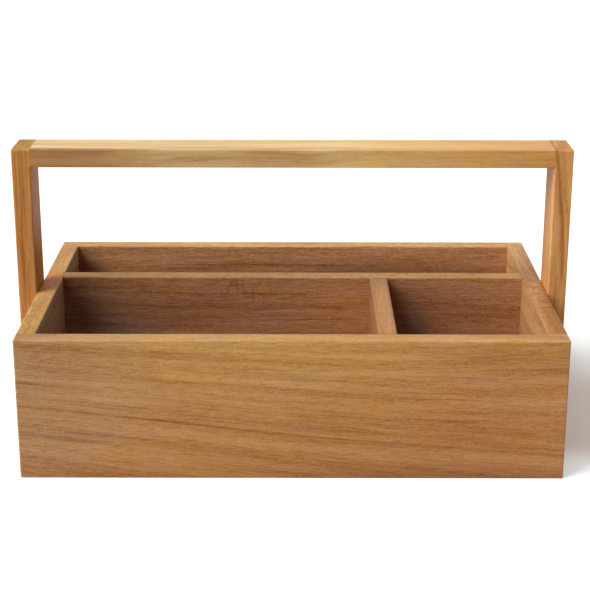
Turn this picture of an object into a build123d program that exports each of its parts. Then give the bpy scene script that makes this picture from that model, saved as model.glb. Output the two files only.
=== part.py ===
"""Open utensil caddy in solid oak: a low box with three compartments and a bar handle.

Millimetres, +Z up, +X along the front, and the front face towards -Y. The origin is where the
box stands, under the middle of its underside.

The four walls are drawn as one glued-up frame, eased by hand along their edges, and then parted
into boards, and so are the uprights and bar of the handle. So each seam closes flush, as on a
caddy that is glued first and sanded afterwards.
"""
from build123d import *
import os

# Overall sizes
BOX_LENGTH = 420
BOX_DEPTH = 266
BOX_HEIGHT = 113.5
HANDLE_TOP = 234
HANDLE_WIDTH = 38
STOCK = 15  # thickness of every wall, divider, upright and of the bar
EASING = 1.2  # radius along every exposed edge

# Compartments
REAR_CLEARANCE = 79  # back board to long divider
CROSS_DIVIDER_X = 73

# Grooves, all cut by one straight bit, and what seats in them
GROOVE_WIDTH = 8
GROOVE_DEPTH = 5
GROOVE_SPARE = 0.5  # left free at the bottom of a groove for glue
FLOOR_RAISE = 5  # underside of the floor panel above the table
TONGUE_STOP = 16  # a divider's tongue ends this far below the rim

# Fluted dowels
DOWEL_RADIUS = 4
DOWEL_FLUTES = 12
DOWEL_CHAMFER = 0.8
DOWEL_SPARE = 0.5  # a hole is deeper than its dowel by this
DOWEL_IN_FACE = 10  # how far a dowel goes into the face of a board
LONG_DOWEL = 30
SHORT_DOWEL = 20
CORNER_DOWEL_HEIGHTS = (28, 92)
UPRIGHT_DOWEL_HEIGHTS = (30, 84)
HANDLE_DOWEL_Y = 10

# Faces and middles that follow from the sizes above
OUTER_X = BOX_LENGTH / 2
OUTER_Y = BOX_DEPTH / 2
INNER_X = OUTER_X - STOCK
INNER_Y = OUTER_Y - STOCK
HANDLE_X = OUTER_X + STOCK
HANDLE_Y = HANDLE_WIDTH / 2
BAR_UNDERSIDE = HANDLE_TOP - STOCK
FLOOR_TOP = FLOOR_RAISE + GROOVE_WIDTH
DIVIDER_BACK = INNER_Y - REAR_CLEARANCE
DIVIDER_FRONT = DIVIDER_BACK - STOCK
DIVIDER_Y = (DIVIDER_FRONT + DIVIDER_BACK) / 2
TONGUE_TOP = BOX_HEIGHT - TONGUE_STOP
TONGUE_LENGTH = GROOVE_DEPTH - GROOVE_SPARE


def block(x_limits, y_limits, z_limits):
    """A plain block between two limits along each axis."""
    limits = (x_limits, y_limits, z_limits)
    middle = [(low + high) / 2 for low, high in limits]
    size = [high - low for low, high in limits]
    return Pos(*middle) * Box(*size)


# Glued-up forms


def wall_frame():
    """The four walls in one, eased along the rim, the underside and the outer corners."""
    outside = block((-OUTER_X, OUTER_X), (-OUTER_Y, OUTER_Y), (0, BOX_HEIGHT))
    inside = block((-INNER_X, INNER_X), (-INNER_Y, INNER_Y), (0, BOX_HEIGHT))
    frame = outside - inside
    level_edges = frame.edges().filter_by(Axis.Z, reverse=True)
    outer_corners = frame.edges().filter_by(lambda edge: abs(edge.center().X) > INNER_X + EASING)
    outer_corners = outer_corners.filter_by(Axis.Z)
    return fillet(level_edges + outer_corners, EASING)


def handle_hoop():
    """The two uprights and the bar in one, eased all over but in the two inner corners."""
    outside = block((-HANDLE_X, HANDLE_X), (-HANDLE_Y, HANDLE_Y), (0, HANDLE_TOP))
    inside = block((-OUTER_X, OUTER_X), (-HANDLE_Y, HANDLE_Y), (0, BAR_UNDERSIDE))
    hoop = outside - inside
    across = hoop.edges().filter_by(Axis.Y)
    inner_corners = across.filter_by(lambda edge: abs(edge.center().Z - BAR_UNDERSIDE) < EASING)
    return fillet(hoop.edges() - inner_corners, EASING)


def between(form, x_limits, y_limits):
    """The part of a glued-up form between limits along X and Y, at its full height."""
    return form & block(x_limits, y_limits, (0, HANDLE_TOP))


# Grooves


def upright_groove():
    """The cutter's path for a divider's tongue: from the floor groove up to a round end.

    It is drawn about the origin's Z axis and is two groove depths thick along Y.
    """
    low = FLOOR_RAISE + GROOVE_WIDTH / 2
    path = Plane.XZ * Pos(0, (low + TONGUE_TOP) / 2) * Rot(0, 0, 90)
    outline = path * SlotCenterToCenter(TONGUE_TOP - low, GROOVE_WIDTH)
    return extrude(outline, GROOVE_DEPTH, both=True)


def stopped_floor_groove():
    """The floor panel's groove in the front and back boards, which stops short of their ends."""
    length = 2 * (INNER_X + GROOVE_DEPTH)
    path = Plane.XZ * Pos(0, FLOOR_RAISE + GROOVE_WIDTH / 2)
    outline = path * SlotCenterToCenter(length, GROOVE_WIDTH)
    return extrude(outline, GROOVE_DEPTH, both=True)


def through_floor_groove():
    """The floor panel's groove in the side boards, which runs out at both of their ends."""
    return block((-GROOVE_DEPTH, GROOVE_DEPTH), (-INNER_Y, INNER_Y), (FLOOR_RAISE, FLOOR_TOP))


# Dowels and their holes: each place has its Z axis along the dowel


def corner_places():
    """Front and back boards to the ends of the side boards."""
    x = OUTER_X - STOCK / 2
    y = INNER_Y + DOWEL_IN_FACE - LONG_DOWEL / 2
    corners = [(sx * x, sy * y) for sx in (-1, 1) for sy in (-1, 1)]
    return [Pos(px, py, z) * Rot(90, 0, 0) for px, py in corners for z in CORNER_DOWEL_HEIGHTS]


def upright_places():
    """Uprights to the outsides of the side boards."""
    spots = [(sx * OUTER_X, sy * HANDLE_DOWEL_Y) for sx in (-1, 1) for sy in (-1, 1)]
    return [Pos(px, py, z) * Rot(0, 90, 0) for px, py in spots for z in UPRIGHT_DOWEL_HEIGHTS]


def bar_places():
    """Uprights to the ends of the bar."""
    x = OUTER_X + DOWEL_IN_FACE - LONG_DOWEL / 2
    z = HANDLE_TOP - STOCK / 2
    return [Pos(sx * x, sy * HANDLE_DOWEL_Y, z) * Rot(0, 90, 0) for sx in (-1, 1) for sy in (-1, 1)]


def dowels(places, length):
    """A group of equal dowels, one solid at each place.

    Flats stand for the flutes: the ribs between them touch the wall of the hole, and glue
    rises past the flats.
    """
    section = RegularPolygon(DOWEL_RADIUS, DOWEL_FLUTES)
    rod = extrude(section, length / 2, both=True)
    ends = rod.edges() - rod.edges().filter_by(Axis.Z)
    rod = chamfer(ends, DOWEL_CHAMFER)
    return Compound(children=[place * rod for place in places])


def drilled(board, places, length):
    """A board with the blind holes for the dowels that reach into it."""
    hole = Cylinder(DOWEL_RADIUS, length + 2 * DOWEL_SPARE)
    for place in places:
        board -= place * hole
    return board


# Pieces


def long_wall(frame, side):
    """The front board for side -1, and the back board for side 1."""
    y_limits = sorted((side * INNER_Y, side * OUTER_Y))
    board = between(frame, (-OUTER_X, OUTER_X), y_limits)
    board -= Pos(0, side * INNER_Y, 0) * stopped_floor_groove()
    if side < 0:
        board -= Pos(CROSS_DIVIDER_X, -INNER_Y, 0) * upright_groove()
    return drilled(board, corner_places(), LONG_DOWEL)


def short_wall(frame, side):
    """The left side board for side -1, and the right one for side 1."""
    x_limits = sorted((side * INNER_X, side * OUTER_X))
    board = between(frame, x_limits, (-INNER_Y, INNER_Y))
    board -= Pos(side * INNER_X, 0, 0) * through_floor_groove()
    board -= Pos(side * INNER_X, DIVIDER_Y, 0) * Rot(0, 0, 90) * upright_groove()
    board = drilled(board, corner_places(), LONG_DOWEL)
    return drilled(board, upright_places(), SHORT_DOWEL)


def floor_panel():
    """The panel that fills the grooves all round."""
    x = INNER_X + TONGUE_LENGTH
    y = INNER_Y + TONGUE_LENGTH
    return block((-x, x), (-y, y), (FLOOR_RAISE, FLOOR_TOP))


def divider(length):
    """A divider along X with its middle at the origin and a stopped tongue at each end."""
    half = length / 2
    reach = half + TONGUE_LENGTH
    board = block((-half, half), (-STOCK / 2, STOCK / 2), (FLOOR_TOP, BOX_HEIGHT))
    top_edges = board.edges().filter_by(Axis.X).group_by(Axis.Z)[-1]
    board = fillet(top_edges, EASING)
    tongues = block((-reach, reach), (-GROOVE_WIDTH / 2, GROOVE_WIDTH / 2), (FLOOR_TOP, TONGUE_TOP))
    return board + tongues


def long_divider():
    """The divider from side to side, with the groove for the cross divider in its front."""
    board = Pos(0, DIVIDER_Y, 0) * divider(2 * INNER_X)
    return board - Pos(CROSS_DIVIDER_X, DIVIDER_FRONT, 0) * upright_groove()


def cross_divider():
    """The divider from the front board to the long divider."""
    length = DIVIDER_FRONT + INNER_Y
    middle = (DIVIDER_FRONT - INNER_Y) / 2
    return Pos(CROSS_DIVIDER_X, middle, 0) * Rot(0, 0, 90) * divider(length)


def upright(hoop, side):
    """The left upright for side -1, and the right one for side 1."""
    x_limits = sorted((side * OUTER_X, side * HANDLE_X))
    post = between(hoop, x_limits, (-HANDLE_Y, HANDLE_Y))
    post = drilled(post, upright_places(), SHORT_DOWEL)
    return drilled(post, bar_places(), LONG_DOWEL)


def handle_bar(hoop):
    """The bar between the tops of the uprights."""
    bar = between(hoop, (-OUTER_X, OUTER_X), (-HANDLE_Y, HANDLE_Y))
    return drilled(bar, bar_places(), LONG_DOWEL)


def all_pieces():
    """Every piece of the caddy by its name."""
    frame = wall_frame()
    hoop = handle_hoop()
    return {
        "front_board": long_wall(frame, -1),
        "back_board": long_wall(frame, 1),
        "left_side_board": short_wall(frame, -1),
        "right_side_board": short_wall(frame, 1),
        "floor_panel": floor_panel(),
        "long_divider": long_divider(),
        "cross_divider": cross_divider(),
        "left_upright": upright(hoop, -1),
        "right_upright": upright(hoop, 1),
        "handle_bar": handle_bar(hoop),
        "corner_dowels": dowels(corner_places(), LONG_DOWEL),
        "upright_dowels": dowels(upright_places(), SHORT_DOWEL),
        "bar_dowels": dowels(bar_places(), LONG_DOWEL),
    }


os.makedirs("parts", exist_ok=True)
for name, piece in all_pieces().items():
    export_step(piece, f"parts/{name}.step")
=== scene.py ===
"""The looks of an open oak caddy with a bar handle: oiled solid wood, in plain studio light.

Metres, in the model's own frame: +X along the front board, +Y to the back, +Z up, and the caddy
stands on z = 0. Lengths inside the wood are millimetres, as a maker reads them off a rule.
"""
import math

import bmesh
import bpy
from mathutils import Matrix, Vector


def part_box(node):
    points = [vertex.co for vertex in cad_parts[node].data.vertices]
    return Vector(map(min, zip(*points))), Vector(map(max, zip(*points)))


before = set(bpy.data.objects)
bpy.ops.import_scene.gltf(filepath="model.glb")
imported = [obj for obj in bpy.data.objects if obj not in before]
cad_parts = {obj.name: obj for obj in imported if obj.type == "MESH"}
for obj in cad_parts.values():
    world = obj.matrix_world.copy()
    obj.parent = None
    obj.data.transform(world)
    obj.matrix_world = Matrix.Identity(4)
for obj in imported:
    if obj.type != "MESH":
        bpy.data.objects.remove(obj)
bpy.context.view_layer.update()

MM = 1000.0  # to the metre


# Camera

CAMERA_PLACE = (0.0037, -1.2006, 0.5004)
CAMERA_TILT_DOWN = 0.3179
CAMERA_TURN_LEFT = 0.0012
CAMERA_ROLL = 0.0013
LENS_IN_PIXELS = 1511.8
PHOTO_HEIGHT = 591  # pixels, the longer side of the picture, which the sensor spans
SENSOR_MM = 36.0


def place_camera():
    """A camera at the photograph's viewpoint."""
    data = bpy.data.cameras.new("camera")
    data.sensor_width = SENSOR_MM
    data.lens = LENS_IN_PIXELS / PHOTO_HEIGHT * SENSOR_MM
    camera = bpy.data.objects.new("camera", data)
    bpy.context.scene.collection.objects.link(camera)
    turn = Matrix.Rotation(CAMERA_TURN_LEFT, 4, "Z")
    tilt = Matrix.Rotation(math.pi / 2 - CAMERA_TILT_DOWN, 4, "X")
    roll = Matrix.Rotation(CAMERA_ROLL, 4, "Z")
    camera.matrix_world = Matrix.Translation(CAMERA_PLACE) @ turn @ tilt @ roll
    bpy.context.scene.camera = camera


# Shader maths

MEAN = 0.5  # the middle of any noise, and of the tones
BUMP_DEPTH = 0.0001  # metres


class Wire:
    """A socket in a node tree, with the operators that put Math nodes behind it."""

    def __init__(self, sheet, socket):
        self.sheet = sheet
        self.socket = socket

    def math(self, operation, *values):
        """Adds a Math node."""
        return self.sheet.node("ShaderNodeMath", {"operation": operation}, dict(enumerate(values)))

    def __add__(self, other):
        return self.math("ADD", self, other)

    def __sub__(self, other):
        return self.math("SUBTRACT", self, other)

    def __rsub__(self, other):
        return self.math("SUBTRACT", other, self)

    def __mul__(self, other):
        return self.math("MULTIPLY", self, other)

    def __truediv__(self, other):
        return self.math("DIVIDE", self, other)

    def __pow__(self, other):
        return self.math("POWER", self, other)

    def __abs__(self):
        return self.math("ABSOLUTE", self)

    __radd__ = __add__
    __rmul__ = __mul__

    def lower(self, other):
        """The lower of two values."""
        return self.math("MINIMUM", self, other)

    def higher(self, other):
        """The higher of two values."""
        return self.math("MAXIMUM", self, other)

    def swing(self, share):
        """How far a noise is off its middle, times its share."""
        return (self - MEAN) * share

    def rise(self, low, high):
        """0 up to low, 1 from high on, and a smooth step between them."""
        values = {"Value": self, "From Min": low, "From Max": high}
        return self.sheet.node("ShaderNodeMapRange", {"interpolation_type": "SMOOTHSTEP"}, values)


class Sheet:
    """One node tree: a material's or the world's."""

    def __init__(self, holder):
        holder.use_nodes = True
        self.holder = holder
        self.tree = holder.node_tree
        self.tree.nodes.clear()

    def node(self, kind, settings, values, output=0):
        """Adds a node, sets it up, fills its sockets and gives one of its outputs."""
        made = self.tree.nodes.new(kind)
        for name, value in settings.items():
            if name == "stops":
                set_stops(made.color_ramp, value)
            else:
                setattr(made, name, value)
        for key, value in values.items():
            if isinstance(value, Wire):
                self.tree.links.new(value.socket, made.inputs[key])
            else:
                made.inputs[key].default_value = value
        return Wire(self, made.outputs[output]) if made.outputs else None

    def coordinate(self, output):
        """Places on the object in metres, as Object, or the directions its faces look, as Normal."""
        return self.node("ShaderNodeTexCoord", {}, {}, output=output)

    def vector(self, x, y, z):
        """Three values as a vector."""
        return self.node("ShaderNodeCombineXYZ", {}, {0: x, 1: y, 2: z})

    def part(self, vector, axis):
        """A vector's value along X, Y or Z."""
        return self.node("ShaderNodeSeparateXYZ", {}, {0: vector}, output=axis)

    def noise(self, place, detail=2.0, roughness=0.5):
        """Smooth noise about its middle, with one wave or so to each unit of place."""
        values = {"Vector": place, "Scale": 1.0, "Detail": detail, "Roughness": roughness}
        return self.node("ShaderNodeTexNoise", {}, values)

    def mix(self, factor, first, second, blend="MIX"):
        """Blends two colours."""
        settings = {"data_type": "RGBA", "blend_type": blend}
        return self.node("ShaderNodeMix", settings, {0: factor, 6: first, 7: second}, output=2)

    def tinted(self, colour, tint, amount):
        """Multiplies a colour by a tint, as far as amount says."""
        return self.mix(amount, colour, tint, blend="MULTIPLY")

    def bump(self, height, strength):
        """Fine relief, as the normals that the shader takes."""
        values = {"Strength": strength, "Distance": BUMP_DEPTH, "Height": height}
        return self.node("ShaderNodeBump", {}, values)

    def surface(self, values):
        """Ends a material with its shader, and gives the material."""
        shader = self.node("ShaderNodeBsdfPrincipled", {}, values)
        self.node("ShaderNodeOutputMaterial", {}, {"Surface": shader})
        return self.holder


def set_stops(ramp, stops):
    """Gives a colour ramp its stops, each a place from 0 to 1 and a colour."""
    while len(ramp.elements) < len(stops):
        ramp.elements.new(1.0)
    for element, (place, colour) in zip(ramp.elements, stops):
        element.position = place
        element.color = colour


def paint(red, green, blue):
    """A colour as a screen shows it, from 0 to 255, in the renderer's linear light."""
    def linear(value):
        value /= 255.0
        return value / 12.92 if value <= 0.04045 else ((value + 0.055) / 1.055) ** 2.4
    return (linear(red), linear(green), linear(blue), 1.0)


def stain(red, green, blue):
    """What a colour is multiplied by, where 1 leaves it as it is."""
    return (red, green, blue, 1.0)


# Oiled oak: its tints

# How far a fibre goes below and above its board's own colour, from dark to pale
STREAK = stain(0.65, 0.50, 0.38)
EVEN = stain(1.0, 1.0, 1.0)
PALE = stain(1.21, 1.36, 1.54)
SAPWOOD = stain(1.46, 1.86, 2.40)
TONES = [(0.20, STREAK), (0.50, EVEN), (0.78, PALE), (1.00, SAPWOOD)]

# What the tree, the saw and the hand leave on any board, and tints for its eased edges
PORE = stain(0.58, 0.44, 0.32)
LATE_WOOD = stain(0.70, 0.56, 0.44)
GREYED = stain(0.97, 1.0, 1.25)
GOLDEN = stain(1.03, 1.0, 0.82)
END_GRAIN = stain(0.88, 0.88, 0.86)
# Tints of the eased edges: the paler ones are a painted highlight
ARRIS = stain(1.04, 1.06, 1.08)
PALE_ARRIS = stain(1.10, 1.15, 1.20)
DULL_ARRIS = stain(0.84, 0.78, 0.74)

# Patches, from dark to pale
CHESTNUT = stain(0.58, 0.43, 0.34)
DARK_RIM = stain(0.66, 0.58, 0.53)
# Painted shade: darker, for the low part of the rear compartment's back wall
PAINTED_LOW_SHADE = stain(0.66, 0.58, 0.58)
OCHRE = stain(0.84, 0.62, 0.34)
# Painted shade: greyer and darker, for the rear compartment's left corner
PAINTED_CORNER_SHADE = stain(0.64, 0.70, 0.84)
RUSSET = stain(0.76, 0.73, 0.80)
BROWN = stain(0.84, 0.76, 0.74)
TAN = stain(0.87, 0.79, 0.72)
MUTED = stain(0.90, 0.87, 0.95)
REDDISH = stain(0.97, 0.90, 0.93)
WORN = stain(0.93, 0.98, 1.04)
HONEY = stain(1.05, 1.02, 0.80)
CHALKY = stain(1.02, 1.08, 1.22)
# Painted shade: greyer and bluer, where the compartments' corners lie in shadow
PAINTED_SHADE_GREY = stain(0.82, 1.10, 1.70)
PALE_BAND = stain(1.10, 1.08, 1.06)
PALE_TOP = stain(1.08, 1.10, 1.16)
WHEAT = stain(1.10, 1.12, 1.10)
RIM_STRAW = stain(1.07, 1.14, 1.12)
STRAW = stain(1.08, 1.15, 1.08)
PEACH = stain(1.22, 1.12, 1.02)
# Painted light: the warm bounce in the shadow that the left upright casts on the rim
PAINTED_BOUNCE_LIGHT = stain(1.40, 1.12, 0.94)
LIGHT = stain(1.24, 1.23, 1.16)
LEMON = stain(1.20, 1.28, 1.14)
ASHEN = stain(1.16, 1.26, 1.46)
CREAM = stain(1.16, 1.32, 1.36)
PALE_BLUE_TOP = stain(1.05, 1.36, 1.60)


# Oiled oak: its boards

# Places and reaches of patches, in millimetres from a board's middle
FACE = -8  # just off the front of a board that stands on edge
RIM = 57  # just above such a board
BAR_FRONT = -19  # the front of the bar and the uprights
TOP = 118  # just above an upright
DEEP = 60  # right through any board
BOTH = 2  # both sides of a board face the inside of the box


class Cut:
    """How one board was sawn from its log, and what its wood is like.

    along is the axis of the grain and across the axis of the wide face. colour is the board's
    own colour, as a screen shows it. pith is how far the log's heart lies from the board's
    middle, across and through it. seed sets its noise off from the other boards'. Any other
    value is one of those below, where the board differs from them.
    """

    drop = 0.0  # how steeply the grain runs off
    fan = 0.0  # how much more steeply it does so for each millimetre across
    bow = 0.0  # and for each millimetre along
    wander = 10.0  # how far long waves move the grain, in millimetres
    ripple = 2.6  # how far short waves do
    gloss = 0.05  # how much light its oil throws back
    inside = 0  # the side that faces the inside of the box, -1 or 1, or BOTH
    inside_tint = EVEN  # the tint of that side: partly the wood's own colour, partly painted shade of the box's inside
    fine = 1.0  # how much fine grain shows
    arris = ARRIS  # the tint of the eased edges, a painted highlight where it is paler
    seams = False  # dark glue lines at both ends
    figure = None  # cross grain figure: its strength, its middle and its reach
    patches = ()  # each a tint, its middle and its reach, both along, across and through
    streaks = ()  # late wood: its height across, half its width, its strength and its two ends

    def __init__(self, along, across, colour, pith, seed, **others):
        self.along = along
        self.across = across
        self.through = ({"X", "Y", "Z"} - {along, across}).pop()
        self.colour = colour
        self.pith = pith
        self.seed = seed
        for name, value in others.items():
            setattr(self, name, value)


CUTS = {
    "front_board": Cut(
        "X", "Z", paint(189, 136, 80), pith=(-150, 60), seed=1, drop=0.079, fan=-0.0011,
        bow=-0.00016, wander=4, gloss=0.12, inside=1, inside_tint=stain(0.62, 0.76, 1.30),
        arris=PALE_ARRIS,
        patches=[
            (STRAW, (-20, 55, FACE), (190, 50, DEEP)),
            (GREYED, (-210, 10, FACE), (150, 90, DEEP)),
            (WORN, (-220, 0, FACE), (90, 90, DEEP)),
            (REDDISH, (200, -6, FACE), (170, 62, DEEP)),
            (BROWN, (0, -80, FACE), (330, 56, DEEP)),
            (RIM_STRAW, (200, RIM, 0), (130, 5, 40)),
            (RUSSET, (140, -62, FACE), (160, 26, DEEP)),
        ],
        streaks=[
            (-19.5, 2.0, 0.5, -260, 240),
            (-19.0, 2.4, 0.8, -145, -60),
            (-19.5, 2.0, 0.5, -105, 20),
            (19.0, 1.4, 0.25, -180, 10),
            (14.5, 1.2, 0.5, -5, 190),
            (-46.0, 2.2, 0.6, -270, -120),
            (-52.0, 1.4, 0.45, 40, 150),
        ]),
    "back_board": Cut(
        "X", "Z", paint(203, 156, 95), pith=(-90, 40), seed=2, drop=-0.02, ripple=4, gloss=0.1,
        inside=-1, inside_tint=stain(0.97, 0.86, 1.12), fine=1.5,
        patches=[
            # painted shade: darker low on the right half, where the rear compartment is shaded
            (PAINTED_LOW_SHADE, (115, 26, FACE), (150, 19, DEEP)),
            # painted shade: darker and greyer at the left end, where the left board shades the rear
            # compartment's corner
            (BROWN, (-196, 12, FACE), (64, 44, DEEP)),
            (PAINTED_CORNER_SHADE, (-196, 26, FACE), (34, 34, 12)),
            (PALE_BAND, (120, 50, FACE), (120, 9, 12)),
            (RIM_STRAW, (0, RIM, 0), (400, 5, 40)),
        ],
        streaks=[
            (38.0, 1.2, 0.6, -150, 60),
            (22.0, 1.6, 0.8, 20, 220),
            (14.0, 1.4, 0.7, -60, 200),
            (30.0, 1.2, 0.6, -120, 20),
        ]),
    "left_side_board": Cut(
        "Y", "Z", paint(198, 148, 88), pith=(-120, 50), seed=3, drop=0.02, inside=1,
        inside_tint=stain(0.90, 1.10, 1.95),
        patches=[
            (CREAM, (-110, RIM, 0), (110, 10, 40)),
            # painted light: warm bounce in the left upright's shadow on the rim
            (PAINTED_BOUNCE_LIGHT, (15, RIM, 0), (30, 5, 30)),
        ]),
    "right_side_board": Cut(
        "Y", "Z", paint(200, 146, 90), pith=(60, 14), seed=4, drop=0.03, wander=16, ripple=6,
        inside=-1, inside_tint=stain(1.00, 1.06, 1.18), arris=DULL_ARRIS,
        figure=(0.8, (-25, 58, 3), (80, 6, 20)),
        patches=[
            (DARK_RIM, (-110, 58, 6), (130, 6, 13)),
            (ASHEN, (95, 45, FACE), (60, 40, 24)),
        ]),
    "floor_panel": Cut("X", "Y", paint(144, 106, 72), pith=(-300, 80), seed=5),
    "long_divider": Cut(
        "X", "Z", paint(215, 163, 103), pith=(-60, 30), seed=6, drop=0.01, wander=12, ripple=5,
        inside=BOTH, inside_tint=stain(0.75, 0.67, 0.83), fine=1.4,
        figure=(0.5, (-40, 41, FACE), (40, 15, 12)),
        patches=[
            # painted shade: greyer in the shadows of the left board and of the cross divider
            (PAINTED_SHADE_GREY, (-200, -8, FACE), (110, 58, 14)),
            (PAINTED_SHADE_GREY, (98, -8, FACE), (26, 58, 14)),
            (BROWN, (-110, 20, FACE), (120, 20, DEEP)),
            (STRAW, (150, 52, 0), (170, 12, DEEP)),
            (REDDISH, (100, 0, FACE), (160, 50, 14)),
            (LIGHT, (44, 35, FACE), (34, 10, 14)),
            (HONEY, (50, 16, FACE), (40, 24, 14)),
        ],
        streaks=[
            (21.5, 3.2, 0.75, -60, 66),
            (11.0, 2.2, 0.7, -20, 66),
            (24.0, 2.0, 0.5, -160, -40),
            (36.0, 1.2, 0.6, -150, 20),
            (14.0, 1.4, 0.5, -100, 60),
            (44.0, 1.4, 0.8, 30, 66),
        ]),
    "cross_divider": Cut(
        "Y", "Z", paint(181, 130, 82), pith=(0, 70), seed=7, wander=5, inside=BOTH,
        inside_tint=stain(0.70, 0.64, 0.66), arris=DULL_ARRIS),
    "left_upright": Cut(
        "Z", "X", paint(192, 130, 70), pith=(60, 30), seed=8, wander=4, ripple=4, fine=0.7,
        patches=[
            (LEMON, (80, 8, 0), (70, 3, 40)),
            (PEACH, (40, 9, 4), (120, 4, 24)),
            # paler and bluer at the top end
            (PALE_BLUE_TOP, (TOP, 0, 0), (4, 40, DEEP)),
            (CHALKY, (-60, 0, BAR_FRONT), (120, 20, 20)),
        ],
        streaks=[
            (-4.4, 0.9, 0.6, 40, 150),
            (-1.1, 1.2, 0.7, -30, 140),
            (4.6, 0.8, 0.5, 50, 150),
            (1.5, 0.8, 0.5, -80, 30),
        ]),
    "right_upright": Cut(
        "Z", "X", paint(208, 150, 90), pith=(-40, 12), seed=9, drop=-0.0056, bow=0.0007,
        wander=4, ripple=4, fine=0.7,
        patches=[
            (BROWN, (0, -4, BAR_FRONT), (44, 5, 30)),
            (WHEAT, (20, 7, BAR_FRONT), (150, 5, 30)),
            (PALE_TOP, (TOP, 0, 0), (4, 40, DEEP)),
        ],
        streaks=[
            (2.9, 2.6, 0.9, -10, 150),
            (-1.0, 1.8, 0.5, -110, 30),
            (8.0, 1.2, 0.5, 30, 150),
        ]),
    "handle_bar": Cut(
        "X", "Y", paint(228, 189, 120), pith=(40, -50), seed=10, drop=0.02, ripple=5, gloss=0.30,
        fine=0.4, seams=True,
        patches=[
            (MUTED, (0, BAR_FRONT, 0), (900, 7, DEEP)),
            (CHESTNUT, (-215, BAR_FRONT, 3), (125, 7, 34)),
            (TAN, (-12, BAR_FRONT, 1), (44, 7, 14)),
            (OCHRE, (240, 0, 0), (230, 60, 40)),
        ],
        streaks=[
            (-16.0, 1.4, 0.4, -30, 80),
            (-18.5, 1.2, 0.5, 60, 200),
        ]),
}


# Oiled oak: its grain

# Noise inside the wood. reach is how many millimetres a wave takes along, across and through the
# board, and shift is how far it moves on from one seed to the next.
BEND = {"reach": (190, 80, 80), "shift": 3.7, "detail": 1.0}
RIPPLE = {"reach": (45, 14, 14), "shift": 5.1, "detail": 1.0}
FIBRE = {"reach": (11, 0.85, 0.85), "roughness": 0.6}
FLECK = {"reach": (2.6, 1.1, 1.1), "roughness": 0.6}
PORES = {"reach": (7, 0.6, 0.6), "shift": 1.0, "detail": 1.0}
DRIFT = {"reach": (45, 7, 20), "shift": 1.9}
CROSS_FIGURE = {"reach": (4, 13, 6), "shift": 1.0, "detail": 1.0}

# Noise that follows the rings, with its reach along the grain and from ring to ring
BAND = {"reach": (240, 7.5), "shift": 7.3}
LINE = {"reach": (55, 1.6), "shift": 9.1, "roughness": 0.6}

# How much of the tone each of them gives
BAND_SHARE = 0.76
LINE_SHARE = 0.48
FIBRE_SHARE = 0.56
FLECK_SHARE = 0.44

# From where a noise shows, and where it shows in full
PORE_SHOWS = (0.58, 0.70)
DRIFT_SHOWS = (0.5, 0.75)
FIGURE_SHOWS = (0.46, 0.62)

PORES_BY_BAND = 1.4  # the darkest bands have fewer pores
PORE_DEPTH = 0.55
STREAK_FADE = 40  # millimetres, at each end
SQUARE_ON = (0.6, 0.9)  # how squarely a face looks along an axis, to take its tint
ARRIS_REACH = (0.3, 1.6)  # millimetres from an edge
SEAM_REACH = (0.5, 0.1)  # millimetres from an end
SEAM_DEPTH = 0.7

# Relief and roughness
FIBRE_RELIEF = 0.35
OAK_BUMP = 0.4
OAK_ROUGHNESS = 0.47
LINE_ROUGHNESS = 0.16
PORE_ROUGHNESS = 0.15
END_ROUGHNESS = 0.12
ARRIS_SMOOTHNESS = 0.05


def grain_axes(sheet, name, cut):
    """Places in the board's own axes, in millimetres from its middle, and half its sizes."""
    low, high = (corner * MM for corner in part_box(name))
    middle, half = (low + high) / 2, (high - low) / 2
    place = sheet.node("ShaderNodeVectorMath", {"operation": "MULTIPLY_ADD"},
                       {0: sheet.coordinate("Object"), 1: (MM, MM, MM), 2: -middle})
    order = (cut.along, cut.across, cut.through)
    return [sheet.part(place, axis) for axis in order], [half["XYZ".index(axis)] for axis in order]


def wood_noise(sheet, cut, axes, reach, shift=0.0, detail=2.0, roughness=0.5):
    """Noise inside the wood, so that it agrees on every face that cuts it."""
    along, across, through = (axis / far for axis, far in zip(axes, reach))
    return sheet.noise(sheet.vector(along, across, through + cut.seed * shift), detail, roughness)


def ring_noise(sheet, cut, along, radius, reach, shift, roughness=0.5):
    """Noise that follows the rings."""
    place = sheet.vector(along / reach[0], radius / reach[1], cut.seed * shift)
    return sheet.noise(place, roughness=roughness)


def growth(sheet, cut, axes):
    """How high the grain lies across the board, and how far it is from the heart of the log."""
    along, across, through = axes
    bend = wood_noise(sheet, cut, axes, **BEND)
    ripple = wood_noise(sheet, cut, axes, **RIPPLE)
    slope = across * cut.fan + along * cut.bow + cut.drop
    height = across + along * slope + bend.swing(cut.wander) + ripple.swing(cut.ripple)
    over = height - cut.pith[0]
    under = through - cut.pith[1]
    return height, (over * over + under * under) ** 0.5


def patch_mask(axes, middle, reach):
    """1 in the middle of an egg-shaped patch, and 0 at its reach and beyond."""
    squares = [((axis - at) / far) ** 2 for axis, at, far in zip(axes, middle, reach)]
    return 1 - (squares[0] + squares[1] + squares[2]).rise(0.0, 1.0)


def streak_mask(height, along, at, width, strength, start, end):
    """A band of late wood that fades at both of its ends."""
    band = 1 - (abs(height - at) / width).rise(0.0, 1.0)
    starting = along.rise(start, start + STREAK_FADE)
    ending = 1 - along.rise(end - STREAK_FADE, end)
    return band * (starting * ending) * strength


def edge_mask(axes, half):
    """1 along the board's edges, where the middle one of its three gaps to a face is small."""
    gaps = [size - abs(axis) for axis, size in zip(axes, half)]
    smaller, larger = gaps[0].lower(gaps[1]), gaps[0].higher(gaps[1])
    return 1 - smaller.higher(larger.lower(gaps[2])).rise(*ARRIS_REACH)


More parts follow.
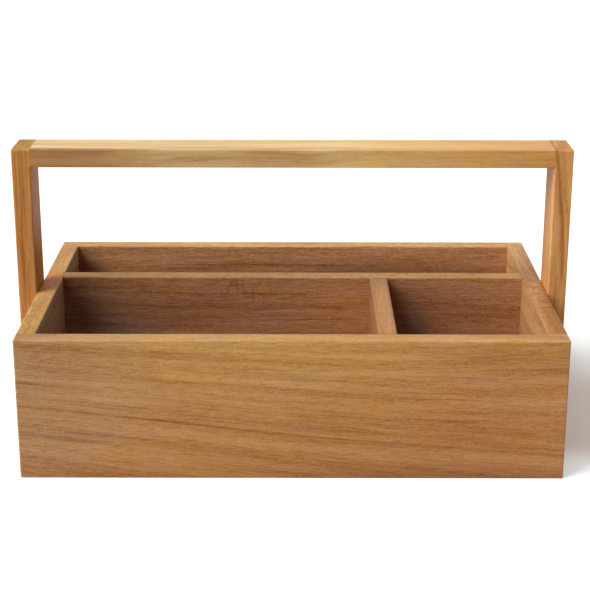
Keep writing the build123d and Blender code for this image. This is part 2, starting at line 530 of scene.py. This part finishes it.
def drifted(sheet, cut, axes, colour):
    """The tree's own colour, which drifts between grey and gold."""
    drift = wood_noise(sheet, cut, axes, **DRIFT)
    colour = sheet.tinted(colour, GREYED, drift.rise(*DRIFT_SHOWS))
    return sheet.tinted(colour, GOLDEN, (1 - drift).rise(*DRIFT_SHOWS))


def figured(sheet, cut, axes, height, colour):
    """The board's broad patches, its cross figure and its streaks of late wood."""
    for tint, middle, reach in cut.patches:
        colour = sheet.tinted(colour, tint, patch_mask(axes, middle, reach))
    if cut.figure:
        strength, middle, reach = cut.figure
        figure = wood_noise(sheet, cut, axes, **CROSS_FIGURE).rise(*FIGURE_SHOWS)
        colour = sheet.tinted(colour, LATE_WOOD, figure * strength * patch_mask(axes, middle, reach))
    for streak in cut.streaks:
        colour = sheet.tinted(colour, LATE_WOOD, streak_mask(height, axes[0], *streak))
    return colour


def tinted_inside(sheet, cut, colour):
    """The sides that face the inside of the box, tinted apart from the rest: partly the wood's own
    colour, partly painted shade.
    """
    facing = sheet.part(sheet.coordinate("Normal"), cut.through)
    inward = abs(facing) if cut.inside == BOTH else facing * cut.inside
    return sheet.tinted(colour, cut.inside_tint, inward.rise(*SQUARE_ON))


def oiled_oak(name, cut):
    """Solid oak round its own rings, so that face, edge and end grain agree."""
    sheet = Sheet(bpy.data.materials.new("oiled_oak_" + name))
    axes, half = grain_axes(sheet, name, cut)
    along = axes[0]
    height, radius = growth(sheet, cut, axes)

    # Bands and lines that follow the rings, fibres and flecks, and pores as short dark dashes
    band = ring_noise(sheet, cut, along, radius, **BAND)
    line = ring_noise(sheet, cut, along, radius, **LINE)
    fibre = wood_noise(sheet, cut, axes, **FIBRE)
    fleck = wood_noise(sheet, cut, axes, **FLECK)
    pore = wood_noise(sheet, cut, axes, **PORES).rise(*PORE_SHOWS) * (band * PORES_BY_BAND).lower(1.0)
    fine = (fibre.swing(FIBRE_SHARE) + fleck.swing(FLECK_SHARE)) * cut.fine
    tone = MEAN + band.swing(BAND_SHARE) + line.swing(LINE_SHARE) + fine
    colour = sheet.node("ShaderNodeValToRGB", {"stops": TONES}, {0: tone})
    colour = sheet.tinted(colour, cut.colour, 1.0)
    colour = drifted(sheet, cut, axes, colour)
    colour = figured(sheet, cut, axes, height, colour)
    colour = sheet.tinted(colour, PORE, pore * PORE_DEPTH * cut.fine)

    # End grain drinks more oil, and the eased edges take the board's arris tint, a painted highlight
    # where it is paler
    end = abs(sheet.part(sheet.coordinate("Normal"), cut.along)).rise(*SQUARE_ON)
    colour = sheet.tinted(colour, END_GRAIN, end)
    if cut.inside:
        colour = tinted_inside(sheet, cut, colour)
    edge = edge_mask(axes, half)
    colour = sheet.tinted(colour, cut.arris, edge)
    if cut.seams:
        seam = abs(along).rise(half[0] - SEAM_REACH[0], half[0] - SEAM_REACH[1])
        colour = sheet.tinted(colour, PORE, seam * SEAM_DEPTH)

    roughness = OAK_ROUGHNESS + line.swing(LINE_ROUGHNESS) + pore * PORE_ROUGHNESS
    roughness = roughness + end * END_ROUGHNESS - edge * ARRIS_SMOOTHNESS
    return sheet.surface({"Base Color": colour, "Roughness": roughness, "Specular IOR Level": cut.gloss,
                          "Normal": sheet.bump(fibre * FIBRE_RELIEF - pore, OAK_BUMP)})


# Plain beech, for the dowels

DOWELS = ("corner_dowels", "upright_dowels", "bar_dowels")
BEECH_PALE = paint(214, 176, 132)
BEECH_DARK = paint(188, 146, 104)
BEECH_FLECKS = 900.0  # to the metre
BEECH_FLECK_SHOWS = (0.45, 0.7)
BEECH_BUMP = 0.3
BEECH_ROUGHNESS = 0.6
FLECK_ROUGHNESS = 0.1


def plain_beech():
    """Unfinished beech with small brown flecks."""
    sheet = Sheet(bpy.data.materials.new("plain_beech"))
    place = sheet.node("ShaderNodeVectorMath", {"operation": "SCALE"},
                       {0: sheet.coordinate("Object"), "Scale": BEECH_FLECKS})
    fleck = sheet.noise(place)
    return sheet.surface({"Base Color": sheet.mix(fleck.rise(*BEECH_FLECK_SHOWS), BEECH_PALE, BEECH_DARK),
                          "Roughness": BEECH_ROUGHNESS + fleck * FLECK_ROUGHNESS,
                          "Normal": sheet.bump(fleck, BEECH_BUMP)})


def finish_board(name, material):
    """Gives a CAD node its finish."""
    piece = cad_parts[name]
    piece.data.materials.clear()
    piece.data.materials.append(material)


# Floor, backdrop and light

FLOOR_HALF = 6.0
FLOOR_SEEN = (0.98, 0.98, 0.98, 1.0)
FLOOR_BOUNCE = (0.60, 0.60, 0.60, 1.0)
FLOOR_LIFT = (0.19, 0.145, 0.12, 1.0)
FRONT_LIFT = (0.365, 0.375, 0.38, 1.0)
BACK_LIFT = (0.29, 0.285, 0.27, 1.0)
FRONT_FADE = (0.063, 0.112)  # metres in front of the caddy's middle
BACK_FADE = (0.03, 0.15)  # metres behind it
ROOM_LIGHT = 0.01
WHITE = (1.0, 1.0, 1.0, 1.0)
BLACK = (0.0, 0.0, 0.0, 1.0)


def seen_directly(sheet):
    """1 for what the camera sees, also in a reflection or through glass, and 0 for bounced light."""
    rays = [sheet.node("ShaderNodeLightPath", {}, {}, output=name)
            for name in ("Is Camera Ray", "Is Glossy Ray", "Is Transmission Ray")]
    return rays[0].higher(rays[1]).higher(rays[2])


def lay_floor():
    """A plain pale floor, lifted to white for the camera, that keeps the caddy's shadow.

    The lift grows towards the front and the back, so that the shadow thins out at its ends.
    """
    mesh = bpy.data.meshes.new("floor")
    drawn = bmesh.new()
    bmesh.ops.create_grid(drawn, x_segments=4, y_segments=4, size=FLOOR_HALF)
    drawn.to_mesh(mesh)
    drawn.free()
    floor = bpy.data.objects.new("floor", mesh)
    bpy.context.scene.collection.objects.link(floor)
    sheet = Sheet(bpy.data.materials.new("floor"))
    seen = seen_directly(sheet)
    back = sheet.part(sheet.coordinate("Object"), "Y")
    lift = sheet.mix((0 - back).rise(*FRONT_FADE), FLOOR_LIFT, FRONT_LIFT)
    lift = sheet.mix(back.rise(*BACK_FADE), lift, BACK_LIFT)
    mesh.materials.append(sheet.surface({
        "Base Color": sheet.mix(seen, FLOOR_BOUNCE, FLOOR_SEEN), "Roughness": 0.9,
        "Specular IOR Level": 0.0, "Emission Color": sheet.mix(seen, BLACK, lift),
        "Emission Strength": 1.0}))


def light_room():
    """A room with hardly any light of its own, which the camera and every reflection see as white."""
    world = bpy.data.worlds.new("room")
    bpy.context.scene.world = world
    sheet = Sheet(world)
    dim = sheet.node("ShaderNodeBackground", {}, {"Color": WHITE, "Strength": ROOM_LIGHT})
    shown = sheet.node("ShaderNodeBackground", {}, {"Color": WHITE, "Strength": 1.0})
    shader = sheet.node("ShaderNodeMixShader", {}, {0: seen_directly(sheet), 1: dim, 2: shown})
    sheet.node("ShaderNodeOutputWorld", {}, {"Surface": shader})


def hang_lamp(name, round_from_left, height, level, softness):
    """A far soft lamp. Level 1 lights a white face to white.

    round_from_left turns it from the caddy's left end towards the front, and height lifts it
    above the horizon, both in degrees.
    """
    data = bpy.data.lights.new(name, "SUN")
    data.energy = level * math.pi
    data.angle = math.radians(softness)
    lamp = bpy.data.objects.new(name, data)
    bpy.context.scene.collection.objects.link(lamp)
    turn, lift = math.radians(round_from_left), math.radians(height)
    to_lamp = Vector((-math.cos(turn) * math.cos(lift), -math.sin(turn) * math.cos(lift), math.sin(lift)))
    lamp.rotation_euler = to_lamp.to_track_quat("Z", "Y").to_euler()


place_camera()
for name, cut in CUTS.items():
    finish_board(name, oiled_oak(name, cut))
beech = plain_beech()
for name in DOWELS:
    finish_board(name, beech)
lay_floor()
light_room()
hang_lamp("window", round_from_left=28, height=48, level=0.72, softness=34)
hang_lamp("window_low", round_from_left=5, height=10, level=0.42, softness=36)
hang_lamp("front_fill", round_from_left=52, height=10, level=0.37, softness=60)
hang_lamp("ceiling", round_from_left=0, height=89, level=0.19, softness=60)
hang_lamp("right_fill", round_from_left=180, height=20, level=0.07, softness=60)
hang_lamp("back_fill", round_from_left=260, height=25, level=0.08, softness=60)
bpy.context.scene.view_settings.view_transform = "Standard"
